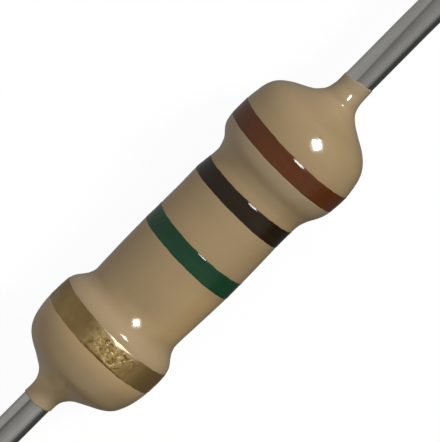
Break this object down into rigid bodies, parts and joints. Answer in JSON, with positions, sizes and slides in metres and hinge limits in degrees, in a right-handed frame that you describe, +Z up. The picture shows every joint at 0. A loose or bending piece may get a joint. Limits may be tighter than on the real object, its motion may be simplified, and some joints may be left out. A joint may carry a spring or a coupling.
{
  "type": "axial resistor",
  "caption": "Small wire-ended film resistor: a waisted lacquered body with colour rings, and a straight tinned lead from each end for soldering.",
  "frame": {"origin": "the middle of the body, on its axis", "axes": "+X along the body and its wires, towards the end that carries the brown ring; +Z up when it lies on a bench, +Y across"},
  "size_m": [0.0626, 0.0024, 0.0024],
  "materials": {
    "ceramic": "matt fired ceramic",
    "carbon": "dull grey-black deposited film",
    "cap_steel": "pressed, tin plated",
    "tinned_wire": "drawn copper wire, tin plated, semi-bright with fine lengthwise lines",
    "lacquer": "dipped tan epoxy lacquer, glossy, slightly uneven",
    "paint_brown": "semi-gloss ring paint",
    "paint_black": "semi-gloss ring paint",
    "paint_green": "semi-gloss ring paint",
    "paint_gold": "metallic flake paint"
  },
  "bodies": {
    "root": {"ceramic_rod": "ceramic", "carbon_film": "carbon", "end_cap_gold_end": "cap_steel", "end_cap_brown_end": "cap_steel", "lead_gold_end": "tinned_wire", "lead_brown_end": "tinned_wire", "coating": "lacquer", "band_brown": "paint_brown", "band_black": "paint_black", "band_green": "paint_green", "band_gold": "paint_gold"}
  },
  "joints": []
}
